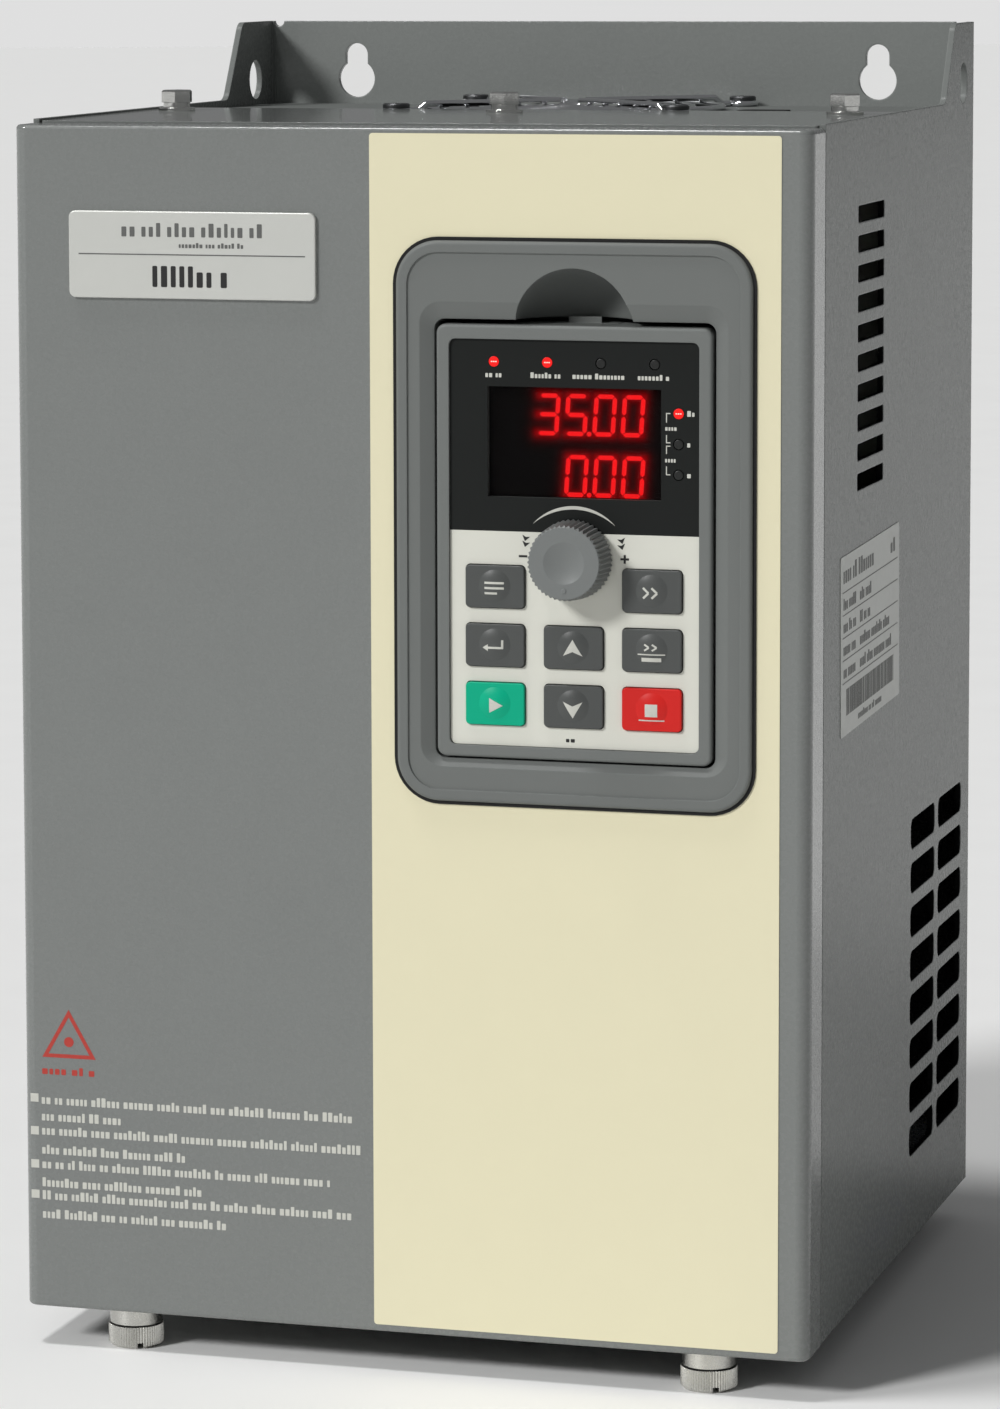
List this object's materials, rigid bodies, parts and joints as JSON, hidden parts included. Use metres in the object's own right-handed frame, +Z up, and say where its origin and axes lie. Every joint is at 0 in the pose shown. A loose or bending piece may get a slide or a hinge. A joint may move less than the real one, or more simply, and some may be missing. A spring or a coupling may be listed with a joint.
{
  "type": "variable frequency drive",
  "caption": "Wall-mounted motor drive in a folded sheet-metal case, with a removable keypad, display, knob, keys, a finned heat sink and a top fan.",
  "frame": {"origin": "on the rear face, in the middle of the four mounting studs", "axes": "+X to the right seen from the front, +Y into the wall, +Z up"},
  "size_m": [0.1902, 0.1989, 0.3103],
  "materials": {
    "painted_sheet": "fine orange-peel grey powder coat",
    "glossy_sheet": "glossy grey coat",
    "cream_coat": "satin cream coat",
    "plated_sheet": "zinc-plated sheet",
    "nickel_screws": "bright zinc and nickel plating",
    "chrome_wire": "bright chromed wire",
    "black_plastic": "matt black moulding",
    "black_rubber": "soft black rubber",
    "aluminium_extrusion": "plain extruded aluminium",
    "circuit_board": "green solder mask",
    "capacitor_sleeve": "dark shrink sleeve",
    "green_terminals": "green moulded terminals",
    "laminated_core": "varnished laminations",
    "coil_wrap": "varnished insulating tape",
    "silver_plate": "satin silver plate",
    "grey_plastic": "fine textured dark grey moulding",
    "grey_keys": "smooth dark grey keys",
    "green_key": "smooth green key",
    "red_key": "smooth red key",
    "white_overlay": "satin white film",
    "black_overlay": "satin black film",
    "smoked_window": "dark clear window",
    "red_leds": "red indicator lenses",
    "shaft_steel": "turned steel"
  },
  "bodies": {
    "case": {"back_panel": "painted_sheet", "left_panel": "painted_sheet", "right_panel": "painted_sheet", "top_deck": "painted_sheet", "top_cover": "glossy_sheet", "bolt_washers": "nickel_screws", "top_bolts": "nickel_screws", "bottom_plate": "painted_sheet", "grommets": "black_rubber", "fan_frame": "black_plastic", "fan_guard": "chrome_wire", "fan_screws": "black_plastic", "partition": "plated_sheet", "heatsink": "aluminium_extrusion", "power_module": "black_plastic", "rectifier_module": "black_plastic", "power_board": "circuit_board", "board_posts": "nickel_screws", "bus_capacitors": "capacitor_sleeve", "supply_transformer": "black_plastic", "precharge_relay": "black_plastic", "current_sensors": "black_plastic", "power_terminals": "black_plastic", "terminal_screws": "nickel_screws", "choke_core": "laminated_core", "choke_coil": "coil_wrap", "control_bracket": "plated_sheet", "control_board": "circuit_board", "control_terminals": "green_terminals", "rating_label": "silver_plate"},
    "front_cover": {"front_cover": "painted_sheet", "cream_film": "cream_coat", "name_plate": "silver_plate", "thumb_sleeves": "nickel_screws", "clamp_nuts": "nickel_screws", "keypad_tray": "grey_plastic"},
    "keypad": {"keypad_front_case": "grey_plastic", "keypad_rear_case": "grey_plastic", "key_overlay": "white_overlay", "display_overlay": "black_overlay", "display_window": "smoked_window", "display_module": "black_plastic", "indicator_leds": "red_leds", "keypad_board": "circuit_board", "key_switches": "black_plastic", "encoder_body": "black_plastic"},
    "keypad_latch": {"keypad_latch": "grey_plastic"},
    "knob": {"knob": "grey_plastic", "encoder_shaft": "shaft_steel"},
    "fan_rotor": {"fan_rotor": "black_plastic"},
    "thumb_screw_left": {"thumb_screw_left": "nickel_screws"},
    "thumb_screw_right": {"thumb_screw_right": "nickel_screws"},
    "program_key": {"program_key": "grey_keys"},
    "quick_key": {"quick_key": "grey_keys"},
    "enter_key": {"enter_key": "grey_keys"},
    "up_key": {"up_key": "grey_keys"},
    "shift_key": {"shift_key": "grey_keys"},
    "run_key": {"run_key": "green_key"},
    "down_key": {"down_key": "grey_keys"},
    "stop_key": {"stop_key": "red_key"}
  },
  "joints": [
    {"name": "cover_swing", "type": "hinge", "parent": "case", "child": "front_cover", "pos_m": [0, -0.1768, 0.1306], "axis": [-1, 0, 0], "range_deg": [0, 60]},
    {"name": "keypad_pull", "type": "slide", "parent": "front_cover", "child": "keypad", "axis": [0, -1, 0], "range_m": [0, 0.026]},
    {"name": "latch_press", "type": "hinge", "parent": "keypad", "child": "keypad_latch", "pos_m": [0.04, -0.1732, 0.0855], "axis": [1, 0, 0], "range_deg": [0, 5], "stiffness_Nm_per_rad": 0.05},
    {"name": "knob_turn", "type": "hinge", "parent": "keypad", "child": "knob", "pos_m": [0.04, -0.194, 0.033], "axis": [0, -1, 0], "continuous": true},
    {"name": "program_press", "type": "slide", "parent": "keypad", "child": "program_key", "axis": [0, 1, 0], "range_m": [0, 0.0006], "stiffness_N_per_m": 2500},
    {"name": "quick_press", "type": "slide", "parent": "keypad", "child": "quick_key", "axis": [0, 1, 0], "range_m": [0, 0.0006], "stiffness_N_per_m": 2500},
    {"name": "enter_press", "type": "slide", "parent": "keypad", "child": "enter_key", "axis": [0, 1, 0], "range_m": [0, 0.0006], "stiffness_N_per_m": 2500},
    {"name": "up_press", "type": "slide", "parent": "keypad", "child": "up_key", "axis": [0, 1, 0], "range_m": [0, 0.0006], "stiffness_N_per_m": 2500},
    {"name": "shift_press", "type": "slide", "parent": "keypad", "child": "shift_key", "axis": [0, 1, 0], "range_m": [0, 0.0006], "stiffness_N_per_m": 2500},
    {"name": "run_press", "type": "slide", "parent": "keypad", "child": "run_key", "axis": [0, 1, 0], "range_m": [0, 0.0006], "stiffness_N_per_m": 2500},
    {"name": "down_press", "type": "slide", "parent": "keypad", "child": "down_key", "axis": [0, 1, 0], "range_m": [0, 0.0006], "stiffness_N_per_m": 2500},
    {"name": "stop_press", "type": "slide", "parent": "keypad", "child": "stop_key", "axis": [0, 1, 0], "range_m": [0, 0.0006], "stiffness_N_per_m": 2500},
    {"name": "fan_spin", "type": "hinge", "parent": "case", "child": "fan_rotor", "pos_m": [0, -0.0425, 0.1153], "axis": [0, 0, 1], "continuous": true},
    {"name": "thumb_screw_left_turn", "type": "hinge", "parent": "front_cover", "child": "thumb_screw_left", "pos_m": [-0.07, -0.182, -0.1557], "axis": [0, 0, -1], "continuous": true},
    {"name": "thumb_screw_right_turn", "type": "hinge", "parent": "front_cover", "child": "thumb_screw_right", "pos_m": [0.07, -0.182, -0.1557], "axis": [0, 0, -1], "continuous": true}
  ]
}
